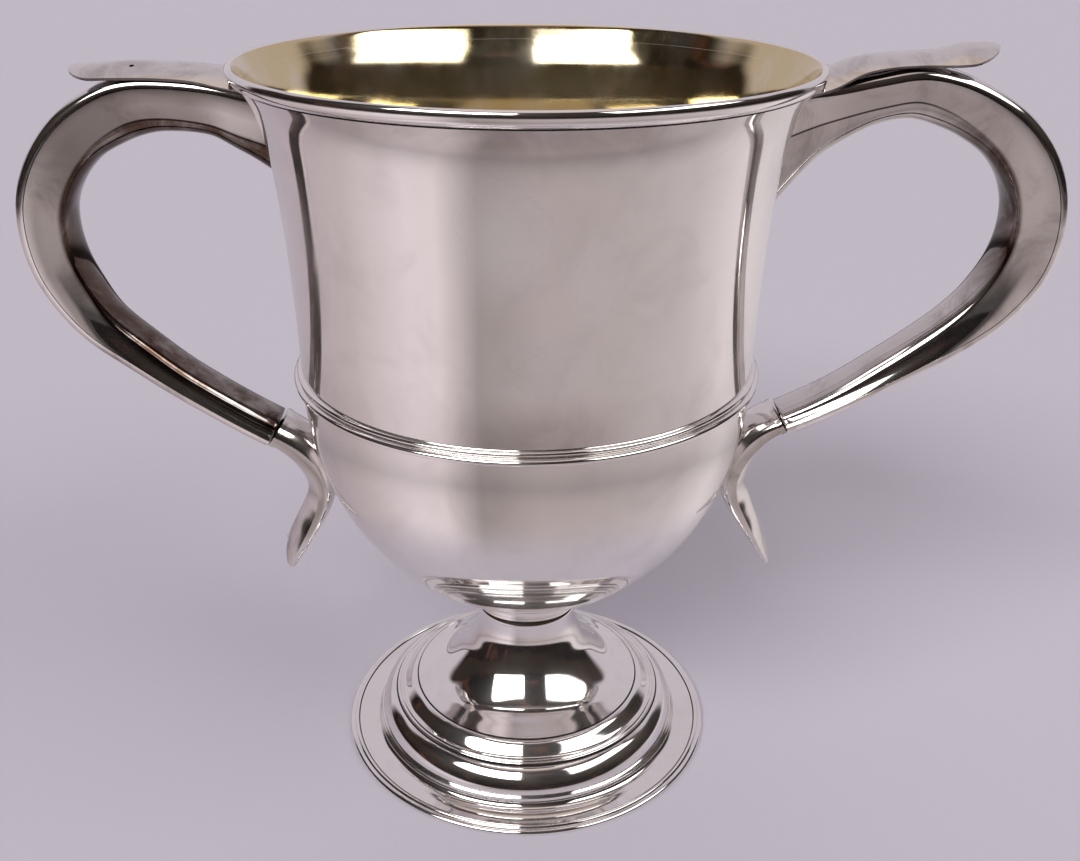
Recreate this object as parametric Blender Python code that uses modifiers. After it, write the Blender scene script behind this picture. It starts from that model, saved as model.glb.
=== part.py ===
"""Two-handled silver cup on a low round foot: turned body and foot, hollow scroll handles.

Metres, +Z up, the foot rests on Z = 0 at the origin, and the handles lie along X.
Outlines are written in millimetres as (radius, height).
"""
import math

import bmesh
import bpy
from mathutils import Vector

MM = 0.001
STEPS = 48
SEAM = 0.3
SHEET = 1.0
FOOT_SHEET = 1.1

RIM_TOP = 171.5
BOWL_TOP = 168.0
BOWL_STRAIGHT = 101.0
BOWL_BELLY = 52.3
BOWL_DROP = 60.5
BOWL_WALL = [(60.3, BOWL_TOP), (57.4, 162.8), (55.1, 153.5), (53.6, 139.5), (52.7, 124.0),
             (BOWL_BELLY, 110.0), (BOWL_BELLY, BOWL_STRAIGHT)]
RIM_SECTION = [(60.6, 168.3), (61.5, 168.7), (62.15, 169.4), (62.4, 170.2), (62.25, 170.9),
               (61.85, 171.35), (61.3, RIM_TOP), (60.7, 171.3), (60.1, 170.7), (59.5, 169.6), (59.2, 168.3)]
GIRDLE_SECTION = [(52.65, 104.9), (53.1, 104.75), (53.4, 104.3), (53.35, 103.9), (53.2, 103.6),
                  (53.7, 103.3), (54.1, 102.8), (54.15, 102.3), (53.9, 101.9), (53.5, 101.65),
                  (52.65, 101.6)]
COLLAR_SECTION = [(13.6, 42.2), (12.5, 40.9), (12.0, 39.4), (12.0, 37.6), (12.4, 36.2),
                  (12.7, 35.4), (12.7, 34.5), (9.5, 34.5), (9.5, 41.1)]
DOME_TOP = (12.0, 34.2)
DOME_LINE = [DOME_TOP, (12.5, 30.4), (13.9, 26.8), (16.6, 22.1), (21.6, 17.0), (25.3, 15.1), (29.0, 13.6)]
STEP_LINE = [(29.3, 13.5), (30.0, 13.4), (30.7, 12.9), (31.6, 11.9), (32.5, 10.95), (33.1, 10.6),
             (33.5, 10.85), (33.9, 10.55), (34.3, 10.7), (34.7, 10.4)]
OVOLO_LINE = [(34.9, 10.1), (35.8, 9.75), (36.7, 9.0), (37.8, 7.6), (38.6, 6.0), (39.0, 4.7), (39.1, 3.5)]
UNDER_CENTRE = (34.6, 5.5)
UNDER_RADII = (3.5, 3.7)
COVE_LINE = [(39.35, 3.0), (39.6, 2.3), (40.15, 1.75), (41.0, 1.45), (42.2, 1.35), (45.1, 1.35)]
UNDER_LINE = [(45.1, 0.3), (41.0, 0.4), (39.2, 0.9), (38.3, 1.9), (38.1, 2.6)]
UNDER_STEP = [(33.9, 9.0), (31.6, 9.6), (30.3, 10.5), (29.9, 11.7), (29.3, 12.3)]
FOOT_RIM_SECTION = [(45.4, 1.4), (45.7, 1.75), (46.2, 1.75), (46.55, 1.35), (47.05, 1.35), (47.6, 1.0),
                    (47.8, 0.5), (47.6, 0.0), (45.4, 0.0)]

HANDLE_HALF = 7.25
BODY_WALL = 0.9
BODY_LEAN = 0.8
TERMINAL_FULLNESS = 2.3
STRAP_EDGE = 0.6
STRAP_ARCH = 1.8
RUN_STEPS = 2
BODY_FACETS = 10
STRAP_FACETS = 6
THUMB_SHEET = 0.7
THUMB_DROP = 2.4
THUMB_HALF = 7.5
VENT_RADIUS = 0.5
TERMINAL_EDGE = 1.2
LIP_RAISE = 0.45
LIP_WIDTH = 1.2
TAIL_NOTCH = 3.0
TAIL_STEPS = 8

LEFT_RUN = [(50.0, 162.0, 16.5, 9.5), (58.4, 163.4, 12.2, 8.0), (66.0, 165.0, 9.9, 6.8),
            (76.0, 165.9, 9.8, 6.4), (84.0, 165.5, 10.4, 6.7), (91.0, 163.0, 10.4, 7.0),
            (98.3, 158.1, 9.8, 7.3), (104.3, 150.8, 9.2, 7.4), (108.0, 142.3, 8.7, 7.3),
            (108.7, 133.8, 8.4, 7.1), (107.2, 125.4, 8.2, 6.9), (103.2, 117.4, 7.6, 6.2),
            (97.9, 110.9, 6.7, 5.2), (90.6, 105.1, 5.9, 4.4), (82.4, 98.9, 5.2, 3.8),
            (75.0, 93.8, 5.0, 3.6), (67.5, 88.9, 5.0, 3.6), (61.0, 85.0, 5.0, 3.6)]
RIGHT_RUN = [(50.0, 163.0, 24.5, 9.0), (58.4, 164.2, 16.6, 6.8), (66.0, 165.2, 11.4, 5.3),
             (74.0, 166.8, 9.0, 4.8), (82.5, 168.1, 9.1, 4.8), (90.5, 166.9, 9.5, 5.6),
             (98.5, 163.6, 9.5, 6.5), (106.5, 158.3, 9.5, 7.3), (112.8, 150.9, 9.6, 7.9),
             (116.4, 142.0, 9.6, 8.2), (117.0, 132.5, 9.8, 8.4), (114.6, 123.8, 9.6, 8.2),
             (108.5, 115.4, 8.7, 7.2), (101.0, 109.4, 7.4, 5.9), (92.5, 104.2, 6.1, 4.7),
             (84.0, 99.3, 5.1, 3.8), (76.0, 94.9, 4.1, 2.9), (68.5, 91.1, 3.6, 2.4),
             (61.5, 88.0, 3.4, 2.2)]
LEFT_TAIL = [(60.7, 84.8, 7.25, 2.1, 5.0), (56.2, 81.3, 7.2, 2.3, 5.5), (52.6, 77.2, 7.1, 2.9, 5.0),
             (50.2, 72.6, 7.0, 3.4, 3.6), (50.0, 68.0, 7.1, 3.6, 2.8), (52.0, 63.4, 7.6, 3.3, 2.5),
             (54.9, 58.7, 8.1, 2.8, 2.2), (57.8, 54.2, 8.3, 2.2, 1.9), (60.2, 50.4, 8.1, 1.6, 1.5)]
RIGHT_TAIL = [(61.2, 87.8, 7.25, 2.1, 3.4), (56.6, 84.6, 7.2, 2.3, 4.4), (52.8, 79.9, 7.1, 2.9, 4.5),
              (50.3, 74.2, 7.0, 3.4, 3.6), (50.4, 69.0, 7.1, 3.6, 2.8), (52.7, 64.2, 7.6, 3.2, 2.4),
              (55.7, 59.2, 8.0, 2.4, 1.9), (58.5, 54.4, 8.0, 1.5, 1.4), (61.1, 50.1, 7.4, 0.6, 1.0)]
LEFT_SKEW = 0.28
RIGHT_SKEW = 0.17
LEFT_THUMB = [(58.0, 168.9, 9.0), (64.0, 169.5, 8.3), (70.0, 170.1, 7.6), (78.0, 170.5, 7.5),
              (86.0, 170.5, 7.5), (90.5, 170.2, 7.2), (93.2, 169.9, 6.0), (95.0, 169.7, 4.0),
              (95.7, 169.6, 1.8)]
RIGHT_THUMB = [(58.0, 168.8, 9.4), (64.0, 169.9, 8.6), (70.0, 171.9, 7.5), (76.0, 172.6, 6.9),
               (82.0, 173.0, 6.9), (87.0, 173.4, 7.4), (90.0, 174.2, 8.3), (93.0, 174.8, 8.5),
               (96.0, 174.9, 7.2), (98.2, 174.8, 4.8), (99.2, 174.6, 2.0)]
VENT_AT = (-82.0, -3.6)
VENT_PIN = (170.0, 8.0)
VENT_FACETS = 12

HOLLOW_END = 75.0
SHARP_ANGLE = 40.0
MERGE_DISTANCE = 0.01
LIP_STEP = 0.05
ROOM_HEIGHT = 8.0
ROOM_RIM = [(62.7, RIM_TOP + ROOM_HEIGHT), (62.7, 169.3), (61.0, 168.2)]

SILVER_TONE = (0.82, 0.80, 0.77, 1.0)


def clear_scene():
    """Start from an empty file."""
    for thing in list(bpy.data.objects):
        bpy.data.objects.remove(thing)


def collection(name):
    """Make a collection in the scene."""
    made = bpy.data.collections.new(name)
    bpy.context.scene.collection.children.link(made)
    return made


def silver(name):
    """Polished silver for one piece."""
    material = bpy.data.materials.new(name)
    material.use_nodes = True
    shader = material.node_tree.nodes["Principled BSDF"]
    shader.inputs["Base Color"].default_value = SILVER_TONE
    shader.inputs["Metallic"].default_value = 1.0
    shader.inputs["Roughness"].default_value = 0.12
    return material


def smooth_line(points, steps):
    """Points of a smooth curve through the given ones, with all their values blended."""
    line = []
    last = len(points) - 1
    for i in range(last):
        before = points[max(i - 1, 0)]
        after = points[min(i + 2, last)]
        for k in range(steps):
            t = k / steps
            row = []
            for p0, p1, p2, p3 in zip(before, points[i], points[i + 1], after):
                bend = (p2 - p0) * t + (2 * p0 - 5 * p1 + 4 * p2 - p3) * t * t
                row.append(p1 + 0.5 * (bend + (3 * p1 - p0 - 3 * p2 + p3) * t ** 3))
            line.append(tuple(row))
    return line + [tuple(points[-1])]


def ellipse_arc(centre, radii, start, end, steps):
    """Points on an ellipse between two angles in degrees, measured up from the radius direction."""
    points = []
    for k in range(steps + 1):
        a = math.radians(start + (end - start) * k / steps)
        points.append((centre[0] + radii[0] * math.cos(a), centre[1] + radii[1] * math.sin(a)))
    return points


def inset_line(points, distance):
    """The line moved square to itself, to the left of its run."""
    moved = []
    last = len(points) - 1
    for i, (x, z) in enumerate(points):
        ax, az = points[max(i - 1, 0)]
        bx, bz = points[min(i + 1, last)]
        run = math.hypot(bx - ax, bz - az)
        moved.append((x + (az - bz) / run * distance, z + (bx - ax) / run * distance))
    return moved


def turned(name, outline, group, closed=True):
    """A turned piece: the outline goes once round the axis."""
    mesh = bpy.data.meshes.new(name)
    edges = [(i, i + 1) for i in range(len(outline) - 1)]
    if closed:
        edges.append((len(outline) - 1, 0))
    mesh.from_pydata([(r * MM, 0.0, z * MM) for r, z in outline], edges, [])
    thing = bpy.data.objects.new(name, mesh)
    group.objects.link(thing)
    mesh.materials.append(silver(name))
    screw = thing.modifiers.new("turn", "SCREW")
    screw.axis = "Z"
    screw.angle = math.tau
    screw.steps = STEPS
    screw.render_steps = STEPS
    screw.use_merge_vertices = True
    screw.merge_threshold = MERGE_DISTANCE * MM
    screw.use_smooth_shade = True
    return thing


def lofted(name, sections, group):
    """A closed skin over a run of sections that differ, with a flat end at each side."""
    made = bmesh.new()
    rings = [[made.verts.new(point) for point in section] for section in sections]
    count = len(rings[0])
    for first, second in zip(rings, rings[1:]):
        for i in range(count):
            j = (i + 1) % count
            made.faces.new((first[i], first[j], second[j], second[i]))
    made.faces.new(rings[0])
    made.faces.new(list(reversed(rings[-1])))
    bmesh.ops.recalc_face_normals(made, faces=made.faces)
    mesh = bpy.data.meshes.new(name)
    made.to_mesh(mesh)
    made.free()
    mesh.materials.append(silver(name))
    mesh.shade_smooth()
    mesh.set_sharp_from_angle(angle=math.radians(SHARP_ANGLE))
    thing = bpy.data.objects.new(name, mesh)
    group.objects.link(thing)
    return thing


def cut(thing, cutter):
    """Take the cutter's shape out of a piece."""
    step = thing.modifiers.new("cut " + cutter.name, "BOOLEAN")
    step.operation = "DIFFERENCE"
    step.solver = "EXACT"
    step.object = cutter


def hide_cutter(thing):
    """Keep a cutting shape out of the finished part."""
    thing.hide_render = True
    thing.display_type = "WIRE"


def frames(line):
    """For each point of a run: the point, its direction and the direction to the hollow side."""
    rows = []
    last = len(line) - 1
    for i, row in enumerate(line):
        ahead = line[min(i + 1, last)]
        behind = line[max(i - 1, 0)]
        run = Vector((ahead[0] - behind[0], ahead[1] - behind[1])).normalized()
        rows.append((row, run, Vector((run.y, -run.x))))
    return rows


def placed(side, point, run, inward, across, depth, ahead=0.0):
    """A point of a section, put in the part's frame."""
    r = point[0] + inward.x * depth + run.x * ahead
    z = point[1] + inward.y * depth + run.y * ahead
    return Vector((side * r * MM, across * MM, z * MM))


def trough(half, crease, depth, facets):
    """A handle's trough as (across, depth): flat sides lean in to a crease and a rounded inner face."""
    arch = []
    for k in range(facets + 1):
        a = math.pi * k / facets
        arch.append((BODY_LEAN * half * math.cos(a), crease + (depth - crease) * math.sin(a)))
    return [(half, SEAM / 2)] + arch + [(-half, SEAM / 2)]


def belly(half, depth, facets, start):
    """The rounded inside of a lower end as (across, depth) from one edge to the other."""
    power = 2.0 / TERMINAL_FULLNESS
    points = []
    for k in range(facets + 1):
        a = math.pi * k / facets
        across = math.copysign(abs(math.cos(a)) ** power, math.cos(a)) * half
        points.append((across, start + (depth - start) * abs(math.sin(a)) ** power))
    return points


def crown(half, rise, facets):
    """The low arch of a strap as (across, height) from one edge to the other."""
    points = []
    for k in range(facets + 1):
        u = -1.0 + 2.0 * k / facets
        points.append((u * half, rise * (1.0 - u * u)))
    return points


def handle_body(name, side, run_points, group):
    """The trough of a hollow handle."""
    sections = []
    for row, run, inward in frames(smooth_line(run_points, RUN_STEPS)):
        outside = trough(HANDLE_HALF, row[3], row[2], BODY_FACETS)
        inside = trough(HANDLE_HALF - BODY_WALL, row[3] - BODY_WALL, row[2] - BODY_WALL, BODY_FACETS)
        sections.append([placed(side, row, run, inward, y, d) for y, d in outside + inside[::-1]])
    return lofted(name, sections, group)


def handle_strap(name, side, run_points, group):
    """The arched strip that closes the trough on its outer side."""
    sections = []
    for row, run, inward in frames(smooth_line(run_points, RUN_STEPS)):
        low = [(y, -SEAM / 2 - h) for y, h in crown(HANDLE_HALF, STRAP_ARCH, STRAP_FACETS)]
        high = [(y, d - STRAP_EDGE) for y, d in low]
        ring = low + high[::-1]
        sections.append([placed(side, row, run, inward, y, d) for y, d in ring])
    return lofted(name, sections, group)


def terminal_ring(side, row, run, inward, raised=0.0, notch=0.0, skew=0.0):
    """One section of the solid lower end: arched outside, rounded inside."""
    half = row[2] + raised
    outer = [(y, -h - raised - TERMINAL_EDGE / 2) for y, h in crown(half, row[3], STRAP_FACETS)]
    inner = belly(half, row[4] + raised, STRAP_FACETS + 2, TERMINAL_EDGE / 2)
    ring = []
    for y, d in outer + inner:
        ahead = -notch * (1.0 - abs(y) / half)
        ring.append(placed(side, row, run, inward, y, d - skew * y, ahead))
    return ring


def lower_terminal(name, side, stations, joint, skew, group):
    """The cast lower end: a raised lip at the joint, the elbow on the bowl and a leaf-shaped tail."""
    rows = frames(smooth_line(stations, RUN_STEPS))
    start = rows[0][0]
    run, inward = joint
    sections = []
    lip = ((0.0, 0.0), (LIP_STEP, LIP_RAISE), (LIP_WIDTH - LIP_STEP, LIP_RAISE), (LIP_WIDTH, 0.0))
    for ahead, raised in lip:
        point = (start[0] + run.x * ahead, start[1] + run.y * ahead) + tuple(start[2:])
        sections.append(terminal_ring(side, point, run, inward, raised))
    for i, (row, ahead, across) in enumerate(rows[1:], start=1):
        grown = max(0.0, 1.0 - (len(rows) - 1 - i) / TAIL_STEPS)
        sections.append(terminal_ring(side, row, ahead, across, 0.0, TAIL_NOTCH * grown ** 3, skew * grown))
    return lofted(name, sections, group)


def thumb_piece(name, side, stations, group):
    """The arched leaf on top of the handle, running out from the rim to a rounded tip."""
    sections = []
    for r, z, half in smooth_line(stations, RUN_STEPS):
        drop = THUMB_DROP * (half / THUMB_HALF) ** 2
        top = crown(half, drop, STRAP_FACETS)
        ring = [(y, z - drop + h) for y, h in top] + [(y, z - drop + h - THUMB_SHEET) for y, h in top[::-1]]
        sections.append([Vector((side * r * MM, y * MM, h * MM)) for y, h in ring])
    return lofted(name, sections, group)


def bowl_outline():
    """The outside of the bowl from the top edge down to the axis."""
    wall = smooth_line(BOWL_WALL, 2)
    floor = ellipse_arc((0.0, BOWL_STRAIGHT), (BOWL_BELLY, BOWL_DROP), 0.0, -90.0, 12)
    return wall[:-1] + floor[:-1] + [(0.0, BOWL_STRAIGHT - BOWL_DROP)]


def build_bowl(group):
    """The raised bowl, open at the top."""
    outside = bowl_outline()
    inside = inset_line(outside, -SHEET)
    inside[0] = (BOWL_WALL[0][0] - SHEET, BOWL_TOP)
    inside[-1] = (0.0, outside[-1][1] + SHEET)
    return turned("bowl", inside[::-1] + outside, group, closed=False)


def build_foot(group):
    """The trumpet-shaped foot, its stepped moulding and the reeded wire it stands on."""
    dome = smooth_line(DOME_LINE, 2)
    under = inset_line(dome, -FOOT_SHEET)
    under[0] = (DOME_TOP[0] - FOOT_SHEET, DOME_TOP[1])
    turned("foot_dome", dome + under[::-1], group)
    ovolo = smooth_line(OVOLO_LINE, 2)
    hollow = ellipse_arc(UNDER_CENTRE, UNDER_RADII, 0.0, HOLLOW_END, 4)
    turned("foot_moulding", STEP_LINE + ovolo + COVE_LINE + UNDER_LINE + hollow + UNDER_STEP, group)
    turned("foot_rim", FOOT_RIM_SECTION, group)


def build_clearance(group):
    """The room that the cup's body takes, with a soldered joint's gap round it."""
    wall = inset_line(bowl_outline(), SEAM)
    wall[-1] = (0.0, wall[-1][1])
    outline = [(0.0, RIM_TOP + ROOM_HEIGHT)] + ROOM_RIM + wall[1:]
    cutter = turned("cup_clearance", outline, group, closed=False)
    hide_cutter(cutter)
    return cutter


def build_vent(group):
    """A small round pin that bores the vent."""
    made = bmesh.new()
    height, length = VENT_PIN
    bmesh.ops.create_cone(made, cap_ends=True, segments=VENT_FACETS, radius1=VENT_RADIUS * MM,
                          radius2=VENT_RADIUS * MM, depth=length * MM)
    bmesh.ops.translate(made, verts=made.verts, vec=(VENT_AT[0] * MM, VENT_AT[1] * MM, height * MM))
    mesh = bpy.data.meshes.new("vent")
    made.to_mesh(mesh)
    made.free()
    cutter = bpy.data.objects.new("vent", mesh)
    group.objects.link(cutter)
    hide_cutter(cutter)
    return cutter


def build_handle(word, side, run_points, tail, skew, thumb, group, clearance):
    """One handle: trough, strap, lower end and thumb-piece, all fitted to the cup's body."""
    joint = frames(smooth_line(run_points, RUN_STEPS))[-1][1:]
    pieces = [handle_body(word + "_handle_body", side, run_points, group),
              handle_strap(word + "_handle_strap", side, run_points, group),
              lower_terminal(word + "_lower_terminal", side, tail, joint, skew, group),
              thumb_piece(word + "_thumb_piece", side, thumb, group)]
    for piece in pieces:
        cut(piece, clearance)
    return pieces


def build():
    """Build every piece of the cup."""
    clear_scene()
    cup = collection("two_handled_cup")
    cutters = collection("cutters")
    build_bowl(cup)
    turned("rim_wire", RIM_SECTION[::-1], cup)
    turned("girdle_band", GIRDLE_SECTION, cup)
    turned("neck_collar", COLLAR_SECTION, cup)
    build_foot(cup)
    clearance = build_clearance(cutters)
    build_handle("right", 1, RIGHT_RUN, RIGHT_TAIL, RIGHT_SKEW, RIGHT_THUMB, cup, clearance)
    left = build_handle("left", -1, LEFT_RUN, LEFT_TAIL, LEFT_SKEW, LEFT_THUMB, cup, clearance)
    cut(left[3], build_vent(cutters))


build()
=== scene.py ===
"""A polished silver two-handled cup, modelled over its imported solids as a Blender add-on.

Lengths in outlines are millimetres as (radius, height). The foot stands on Z = 0, the handles lie along X
and the front looks along -Y.
"""
import math

import bmesh
import bpy
from bpy.props import FloatProperty, FloatVectorProperty, IntProperty, PointerProperty
from mathutils import Matrix, Vector


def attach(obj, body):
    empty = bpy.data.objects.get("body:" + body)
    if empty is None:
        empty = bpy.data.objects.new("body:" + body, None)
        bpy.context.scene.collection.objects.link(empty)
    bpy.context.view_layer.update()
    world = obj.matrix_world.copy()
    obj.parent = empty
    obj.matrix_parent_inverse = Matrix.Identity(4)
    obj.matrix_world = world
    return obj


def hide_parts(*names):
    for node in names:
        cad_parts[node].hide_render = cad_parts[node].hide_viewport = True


bl_info = {
    "name": "Silver Two-Handled Cup",
    "version": (1, 0, 0),
    "blender": (4, 5, 0),
    "location": "View3D > Sidebar > Silver Cup",
    "description": "Models a raised silver cup with scroll handles, its stage and its camera",
    "category": "Object",
}

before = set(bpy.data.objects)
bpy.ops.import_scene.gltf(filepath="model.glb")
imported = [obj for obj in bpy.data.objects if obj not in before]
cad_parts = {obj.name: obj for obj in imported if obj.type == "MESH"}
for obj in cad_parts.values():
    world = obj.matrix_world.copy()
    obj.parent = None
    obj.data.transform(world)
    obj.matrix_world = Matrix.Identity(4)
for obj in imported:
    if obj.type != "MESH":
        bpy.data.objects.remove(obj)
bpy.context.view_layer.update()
MM = 0.001

RIM_TOP = 171.5
BOWL_TOP = 168.0
BOWL_STRAIGHT = 101.0
BOWL_BELLY = 52.3
BOWL_DROP = 60.5
BOWL_WALL = [(60.3, BOWL_TOP), (57.4, 162.8), (55.1, 153.5), (53.6, 139.5), (52.7, 124.0),
             (BOWL_BELLY, 110.0), (BOWL_BELLY, BOWL_STRAIGHT)]
RIM_SECTION = [(60.4, 168.15), (61.2, 168.45), (62.0, 169.1), (62.38, 170.0), (62.3, 170.8), (62.0, 171.3),
               (61.6, RIM_TOP), (61.15, 171.38), (60.7, 170.95), (59.84, 169.5), (59.0, 168.03)]
LIP_INSIDE = 58.97
GILT_EDGE = 60.9
RIM_GILT_BAND = 0.6
RIM_GILT_RISE = 0.7
GILT_LOOK = 20.0
GIRDLE_TOP_REED = (52.3, 104.15, 1.0, 0.7)
GIRDLE_LOW_REED = (52.6, 102.6, 1.5, 0.95)
GIRDLE_BACK = [(51.9, 101.6), (51.9, 104.9)]
REED_TURN = 75.0
COLLAR_OUTSIDE = [(14.0, 42.5), (12.6, 41.0), (12.0, 39.4), (12.0, 37.6), (12.35, 36.2), (12.7, 35.5),
                  (12.7, 34.6)]
COLLAR_INSIDE = [(12.3, 34.4), (9.5, 34.4), (9.5, 41.5)]
DOME_TOP = (12.0, 34.3)
DOME_LINE = [DOME_TOP, (12.5, 30.4), (13.9, 26.8), (16.6, 22.1), (21.6, 17.0), (25.3, 15.1), (29.0, 13.6)]
STEP_LINE = [(29.1, 13.2), (29.4, 13.5), (30.0, 13.4), (30.7, 12.9), (31.6, 11.9), (32.5, 10.95),
             (33.1, 10.6)]
STEP_REEDS = [(33.5, 10.45, 0.38), (34.3, 10.3, 0.4)]
STEP_REED_TURN = (150.0, 20.0)
OVOLO_LINE = [(34.85, 9.9), (35.2, 10.05), (35.9, 9.7), (36.7, 9.0), (37.8, 7.6), (38.6, 6.0), (39.0, 4.7),
              (39.1, 3.5)]
UNDER_CENTRE = (34.6, 5.5)
UNDER_RADII = (3.5, 3.7)
UNDER_TURN = 75.0
COVE_LINE = [(39.35, 3.05), (39.5, 2.5), (39.85, 2.0), (40.4, 1.6), (41.1, 1.4), (42.2, 1.33), (45.2, 1.35)]
UNDER_LINE = [(45.2, 0.3), (41.0, 0.4), (39.2, 0.9), (38.3, 1.9), (38.1, 2.6)]
UNDER_STEP = [(33.9, 9.0), (31.6, 9.6), (30.3, 10.5), (29.9, 11.7), (29.1, 12.2)]
FOOT_RIM_REEDS = [(45.35, 1.1), (45.45, 1.5), (45.8, 1.75), (46.2, 1.72), (46.5, 1.35), (46.7, 1.4),
                  (47.15, 1.35), (47.6, 1.0), (47.8, 0.5)]
FOOT_RIM_FLAT = [(47.6, 0.0), (45.35, 0.0)]
# Over the bowl and rim, the space that the handle roots are cut back to.
ROOM_TOP = [(0.0, RIM_TOP + 8.0), (62.2, RIM_TOP + 8.0), (62.2, 169.3), (60.7, 168.2)]

# Seams that hold dirt: the radius and half the width.
BOWL_SEAM = (60.3, 0.12)
RIM_SEAM = (60.4, 0.3)
DOME_SEAM = (29.05, 0.12)
MOULDING_SEAM = (34.78, 0.12)
FOOT_RIM_SEAM = (45.38, 0.12)

# Handle runs: the reach and height of the strap's edge, then the depth from it to the inner face and to the
# crease between that face and the flat side.
LEFT_RUN = [(50.0, 162.0, 16.5, 9.5), (58.4, 163.4, 12.2, 8.0), (66.0, 165.0, 9.9, 6.8),
            (76.0, 165.9, 9.8, 6.4), (84.0, 165.5, 10.4, 6.7), (91.0, 163.0, 10.4, 7.0),
            (98.3, 158.1, 9.8, 7.3), (104.3, 150.8, 9.2, 7.4), (108.0, 142.3, 8.7, 7.3),
            (108.7, 133.8, 8.4, 7.1), (107.2, 125.4, 8.2, 6.9), (103.2, 117.4, 7.6, 6.2),
            (97.9, 110.9, 6.7, 4.5), (90.6, 105.1, 5.9, 3.2), (82.4, 98.9, 5.2, 2.3),
            (75.0, 93.8, 5.0, 2.0), (67.5, 88.9, 5.0, 1.9), (61.0, 85.0, 5.0, 1.9)]
RIGHT_RUN = [(50.0, 163.0, 24.5, 9.0), (58.4, 164.2, 16.6, 6.8), (66.0, 165.2, 11.4, 5.3),
             (74.0, 166.8, 9.0, 4.8), (82.5, 168.1, 9.1, 4.8), (90.5, 166.9, 9.5, 5.6),
             (98.5, 163.6, 9.5, 6.5), (106.5, 158.3, 9.5, 7.3), (112.8, 150.9, 9.6, 7.9),
             (116.4, 142.0, 9.6, 8.2), (117.0, 132.5, 9.8, 8.4), (114.6, 123.8, 9.6, 8.2),
             (108.5, 115.4, 8.7, 6.7), (101.0, 109.4, 7.4, 4.8), (92.5, 104.2, 6.1, 3.2),
             (84.0, 99.3, 5.1, 2.2), (76.0, 94.9, 4.1, 1.6), (68.5, 91.1, 3.6, 1.4),
             (61.5, 88.0, 3.4, 1.3)]
# Lower ends: reach, height, half width, rise of the outer face and depth of the inner one.
LEFT_TAIL = [(60.7, 84.8, 7.25, 2.1, 5.0), (56.2, 81.3, 7.2, 2.3, 5.5), (52.6, 77.2, 7.1, 2.9, 5.0),
             (50.2, 72.6, 7.0, 3.4, 3.6), (50.0, 68.0, 7.1, 3.6, 2.8), (52.0, 63.4, 7.6, 3.3, 2.5),
             (54.9, 58.7, 8.1, 2.8, 2.2), (57.8, 54.2, 8.3, 2.2, 1.9), (60.2, 50.4, 8.1, 1.6, 1.5)]
RIGHT_TAIL = [(61.2, 87.8, 7.25, 2.1, 3.4), (56.6, 84.6, 7.2, 2.3, 4.4), (52.8, 79.9, 7.1, 2.9, 4.5),
              (50.3, 74.2, 7.0, 3.4, 3.6), (50.4, 69.0, 7.1, 3.6, 2.8), (52.7, 64.2, 7.6, 3.2, 2.4),
              (55.7, 59.2, 8.0, 2.4, 1.9), (58.5, 54.4, 8.0, 1.5, 1.4), (61.1, 50.1, 7.4, 0.6, 1.0)]
# Thumb-pieces: reach, height and half width.
LEFT_THUMB = [(58.0, 168.9, 9.0), (64.0, 169.5, 8.3), (70.0, 170.1, 7.6), (78.0, 170.5, 7.5),
              (86.0, 170.5, 7.5), (90.5, 170.2, 7.2), (93.2, 169.9, 6.0), (95.0, 169.7, 4.0),
              (95.7, 169.6, 1.8)]
RIGHT_THUMB = [(58.0, 168.8, 9.4), (64.0, 169.9, 8.6), (70.0, 171.9, 7.5), (76.0, 172.6, 6.9),
               (82.0, 173.0, 6.9), (87.0, 173.4, 7.4), (90.0, 174.2, 8.3), (93.0, 174.75, 8.5),
               (96.0, 174.88, 7.2), (98.2, 174.8, 4.8), (99.2, 174.6, 2.0)]
# Shares of tarnish at a handle's root, over its crown and on its lower arm.
LEFT_STAINS = (1.0, 0.55, 1.0)
RIGHT_STAINS = (0.3, 0.25, 0.15)
# A tail's end leans over sideways by this slope, grown over its last spans.
LEFT_SKEW = 0.28
RIGHT_SKEW = 0.17
TAIL_SPANS = 4
TAIL_NOTCH = 3.0
# The tip's middle points lie this near its plane, and inside this share of its half width.
TIP_NEAR = 0.01
TIP_MIDDLE = 0.05
TAIL_FULLNESS = 2.3
LIP_WIDTH = 1.2
STRAP_SHOULDER = 2.6
STRAP_CROWN = 0.2
# The trough's sides lean in to this share of its width.
TROUGH_LEAN = 0.8
# The half width at which a thumb-piece has its full drop.
THUMB_HALF = 7.5
VENT_AT = (-82.0, -3.6)
VENT_RADIUS = 0.5
VENT_DEPTH = 8.0
SEAM = 0.1
# A point of the trough farther than this from a station belongs to another part of the run.
REACH = 26.0
OUT_OF_REACH = 10.0

# Points nearer than this are one.
MERGE = 0.002
# Edges over these angles in degrees stay sharp, and those over the last one are broken by a small bevel.
TURNED_SHARP = 35.0
HANDLE_SHARP = 40.0
BROKEN_SHARP = 50.0
TROUGH_BREAK = 0.12
LEAF_BREAK = 0.2
TROUGH_FACETS = 32
FACETS = 24
# Steps of the turned outlines, of a strap's shoulder and of the vent hole.
CURVE_STEPS = 4
BASE_STEPS = 40
REED_STEPS = 8
STEP_REED_STEPS = 5
OVOLO_STEPS = 5
DOME_STEPS = 6
FOOT_RIM_STEPS = 3
SHOULDER_STEPS = 10
VENT_SIDES = 48

STROKE_DEPTH = 0.004
WORN_ROUGHNESS = 0.38
# The least share of tarnish on a handle's pieces.
HANDLE_FILM = 0.12
THUMB_FILM = 0.16
TROUGH_FILM = 0.2
BLOOM_TRACE = 0.02
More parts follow.
